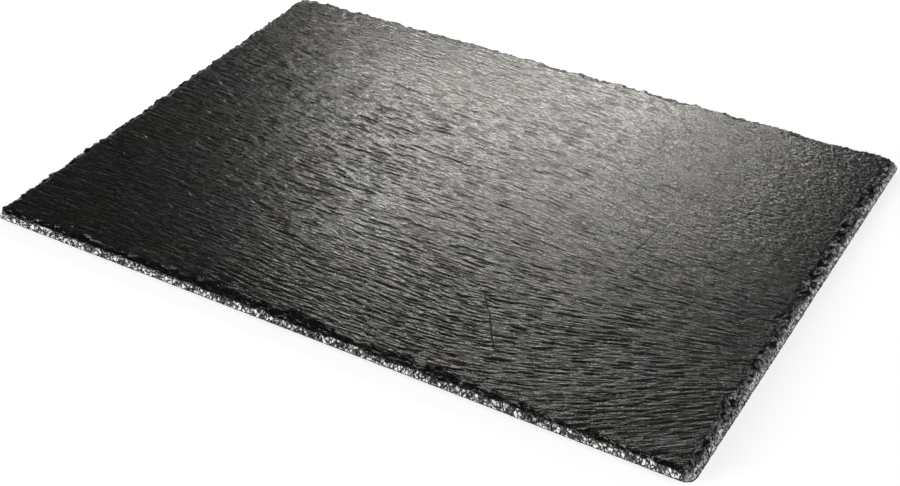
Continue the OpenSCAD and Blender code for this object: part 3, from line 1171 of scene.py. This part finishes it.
def turned_mesh(name, middle, profile, wobble, seed):
    """A closed turned mesh round an upright axis. The profile runs from the lower axis to the upper."""
    angles = 2 * np.pi * np.arange(TURN_SIDES) / TURN_SIDES
    rings = profile[1:-1]
    sway_x = WOBBLE_TURNS * np.cos(angles) + seed
    sway_y = WOBBLE_TURNS * np.sin(angles) + 0.5
    sway = wobble * noise(sway_x, sway_y, (1, 1), seed)
    points = [(middle[0], middle[1], profile[0][1])]
    for radius, z in rings:
        for angle, more in zip(angles, sway):
            r = radius - abs(more)
            points.append((middle[0] + r * math.cos(angle), middle[1] + r * math.sin(angle), z))
    points.append((middle[0], middle[1], profile[-1][1]))
    faces = []
    for k in range(TURN_SIDES):
        after = (k + 1) % TURN_SIDES
        faces.append((0, 1 + after, 1 + k))
        for ring in range(len(rings) - 1):
            low = 1 + ring * TURN_SIDES
            high = low + TURN_SIDES
            faces.append((low + k, low + after, high + after, high + k))
        last = 1 + (len(rings) - 1) * TURN_SIDES
        faces.append((last + k, last + after, len(points) - 1))
    mesh = bpy.data.meshes.new(name)
    mesh.from_pydata(points, [], faces)
    mesh.polygons.foreach_set("use_smooth", np.ones(len(faces), bool))
    mesh.update()
    return mesh


# The pad: its rounded lower rim, its bulging side and how uneven it is, in metres. The ring in its
# tread is given by shares of the pad's radius with heights over the table.
PAD_RIM_R = 0.5 * MM
PAD_BULGE = 0.12 * MM
PAD_WOBBLE = 0.03 * MM
PAD_RIM_STEPS = 6
PAD_SIDE_STEPS = 8
PAD_TOP_SHARE = 0.9
PAD_TREAD = ((0, 0.25 * MM), (0.3, 0.25 * MM), (0.42, 0.16 * MM), (0.52, 0.03 * MM), (0.6, 0), (0.8, 0))

# The adhesive's outline, as shares of its radius and of its thickness
FILM_OUTLINE = ((0, 0), (0.5, 0), (0.97, 0), (1, 0.3), (1, 0.7), (0.98, 1), (0.5, 1), (0, 1))
FILM_WOBBLE = 0.25 * MM
FILM_SEEDS = 7


def pad_profile(low, high, radius):
    """Half the pad's outline: a tread with a shallow ring, a rounded rim and a side that bulges."""
    points = [(share * radius, low + rise) for share, rise in PAD_TREAD]
    for step in range(PAD_RIM_STEPS + 1):
        angle = math.pi / 2 * step / PAD_RIM_STEPS
        points.append((radius - PAD_BULGE - PAD_RIM_R * (1 - math.sin(angle)),
                       low + PAD_RIM_R * (1 - math.cos(angle))))
    side_low = low + PAD_RIM_R
    for step in range(1, PAD_SIDE_STEPS + 1):
        t = step / PAD_SIDE_STEPS
        bulge = PAD_BULGE * math.sin(math.pi * t)
        points.append((radius - PAD_BULGE + bulge, side_low + t * (high - side_low)))
    points.append((radius * PAD_TOP_SHARE, high))
    points.append((0, high))
    return points


def add_pad(corner, rubber, film, seed):
    """One pad and the adhesive over it, both round the pad's middle and as wide as their CAD nodes."""
    low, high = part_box("foot_" + corner)
    middle = ((low.x + high.x) / 2, (low.y + high.y) / 2)
    profile = pad_profile(low.z, high.z, (high.x - low.x) / 2)
    mesh = turned_mesh("pad_" + corner, middle, profile, PAD_WOBBLE, seed)
    shown("pad_" + corner, mesh, rubber, "pad", "foot_" + corner)
    low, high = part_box("adhesive_" + corner)
    radius = (high.x - low.x) / 2
    thick = high.z - low.z
    profile = [(share * radius, low.z + rise * thick) for share, rise in FILM_OUTLINE]
    mesh = turned_mesh("film_" + corner, middle, profile, FILM_WOBBLE, seed + FILM_SEEDS)
    shown("film_" + corner, mesh, film, "adhesive", "adhesive_" + corner)


# Surroundings

# The camera's place, its pitch, roll and yaw in degrees, and its lens in pixels of the picture
CAMERA_PLACE = (0.31049, -0.52299, 0.41435)
CAMERA_TURN = (36.0407, -0.6825, -30.9930)
FOCAL_PX = 1551.71
IMAGE_W_PX = 900
SENSOR_MM = 36.0


def add_camera():
    """The camera, where the photograph was taken from."""
    data = bpy.data.cameras.new("camera")
    data.sensor_width = SENSOR_MM
    data.lens = FOCAL_PX / IMAGE_W_PX * SENSOR_MM
    camera = bpy.data.objects.new("camera", data)
    pitch, roll, yaw = (math.radians(angle) for angle in CAMERA_TURN)
    level = Matrix(((1, 0, 0), (0, 0, -1), (0, 1, 0)))
    tilt = Matrix.Rotation(pitch, 3, "X")
    swing = Matrix.Rotation(yaw, 3, "Z")
    seen = Matrix.Rotation(roll, 3, "Z") @ tilt @ level @ swing
    camera.matrix_world = (seen.transposed() @ Matrix.Diagonal((1, -1, -1))).to_4x4()
    camera.matrix_world.translation = Vector(CAMERA_PLACE)
    bpy.context.scene.collection.objects.link(camera)
    bpy.context.scene.camera = camera


# The floor's half size, its grey where it is seen and for other rays, and how its glow grows from
# near the board, where the lamps add to it and the shadow shows, to far from it
FLOOR_HALF = 6.0
FLOOR_SEEN = (0.5, 0.5, 0.5, 1)
FLOOR_GREY = (0.75, 0.75, 0.75, 1)
FLOOR_NEAR = 0.3
FLOOR_FAR = 1.2
FLOOR_GLOW_NEAR = 0.75
FLOOR_GLOW_FAR = 1.0


def seen_share(tree):
    """1 for rays from the camera and for reflected and refracted rays, 0 for the rest."""
    path = put(tree, "LightPath").outputs
    share = math_of(tree, "MAXIMUM", path["Is Camera Ray"], path["Is Glossy Ray"])
    return math_of(tree, "MAXIMUM", share, path["Is Transmission Ray"])


def add_floor():
    """A pale floor that looks white and still takes the object's shadow."""
    mesh = bpy.data.meshes.new("floor")
    h = FLOOR_HALF
    mesh.from_pydata([(-h, -h, 0), (h, -h, 0), (h, h, 0), (-h, h, 0)], [], [(0, 1, 2, 3)])
    floor = bpy.data.objects.new("floor", mesh)
    bpy.context.scene.collection.objects.link(floor)
    made, tree, shader = material("floor")
    seen = seen_share(tree)
    matt = put(tree, "BsdfDiffuse", None, Color=mix_of(tree, seen, FLOOR_GREY, FLOOR_SEEN))
    away = put(tree, "VectorMath", {"operation": "LENGTH"}, i0=object_place(tree)).outputs["Value"]
    level = ramp_of(tree, away, FLOOR_NEAR, FLOOR_FAR, FLOOR_GLOW_NEAR, FLOOR_GLOW_FAR)
    level = times(tree, seen, level)
    glow = put(tree, "Emission", None, Color=(1, 1, 1, 1), Strength=level)
    both = put(tree, "AddShader", None, i0=matt.outputs[0], i1=glow.outputs[0])
    tree.links.new(both.outputs[0], tree.nodes["Material Output"].inputs["Surface"])
    tree.nodes.remove(shader)
    mesh.materials.append(made)


# The world: a white band where a direction rises by less than the first share of its length, and a
# dim sky where it rises by more than the second
BAND_TOP = 0.13
SKY_LOW = 0.17
BAND_LEVEL = 1.0
SKY_LEVEL = 0.02


def set_world():
    """A dim studio with a white band along its horizon."""
    world = bpy.data.worlds.new("studio")
    world.use_nodes = True
    bpy.context.scene.world = world
    tree = world.node_tree
    way = put(tree, "TexCoord").outputs["Generated"]
    up = put(tree, "SeparateXYZ", None, Vector=way).outputs["Z"]
    level = ramp_of(tree, up, BAND_TOP, SKY_LOW, BAND_LEVEL, SKY_LEVEL)
    tree.links.new(level, tree.nodes["Background"].inputs["Strength"])
    tree.nodes["Background"].inputs["Color"].default_value = (1, 1, 1, 1)


# Each lamp by name: its place, what it is aimed at, its width and height, its power and its colour
WARM_LIGHT = (1.0, 0.985, 0.945)
PLAIN_LIGHT = (1, 1, 1)
COOL_LIGHT = (0.93, 0.96, 1.0)
LAMPS = {
    "back_light": ((-0.188, 0.52, 0.31), (-0.248, 0.57, 0), (0.47, 0.17), 5.5, WARM_LIGHT),
    "high_light": ((-0.13, 0.36, 0.42), (-0.17, 0.40, 0), (0.18, 0.12), 0.36, WARM_LIGHT),
    "front_light": ((-0.95, -1.5, 0.36), (0, -0.1, 0), (0.9, 0.45), 35.0, PLAIN_LIGHT),
    "right_light": ((1.1, -0.25, 0.42), (0.1, 0, 0), (0.5, 0.4), 6.0, COOL_LIGHT),
}


def aimed(place, target):
    """A matrix at a place with its -Z axis towards a target and its X axis level."""
    way = (Vector(target) - Vector(place)).normalized()
    across = way.cross(Vector((0, 0, 1))).normalized()
    up = across.cross(way)
    turned = Matrix((across, up, -way)).transposed().to_4x4()
    turned.translation = Vector(place)
    return turned


def add_lamps():
    """Two soft lights behind that draw the sheen, one in front that lights the edge, one beside."""
    for name, (place, target, size, power, colour) in LAMPS.items():
        data = bpy.data.lights.new(name, "AREA")
        data.shape = "RECTANGLE"
        data.size, data.size_y = size
        data.energy = power
        data.color = colour
        lamp = bpy.data.objects.new(name, data)
        lamp.matrix_world = aimed(place, target)
        lamp.visible_camera = False
        bpy.context.scene.collection.objects.link(lamp)


PAD_SEED = 11

add_camera()
set_world()
add_lamps()
add_floor()
shown("slate_board", slate_mesh(), slate_material(), "slate", "slate_slab")
pad_rubber = rubber_material()
adhesive_film = adhesive_material()
for seed, corner in enumerate(CORNERS, PAD_SEED):
    add_pad(corner, pad_rubber, adhesive_film, seed)

bpy.context.scene.view_settings.view_transform = "Standard"
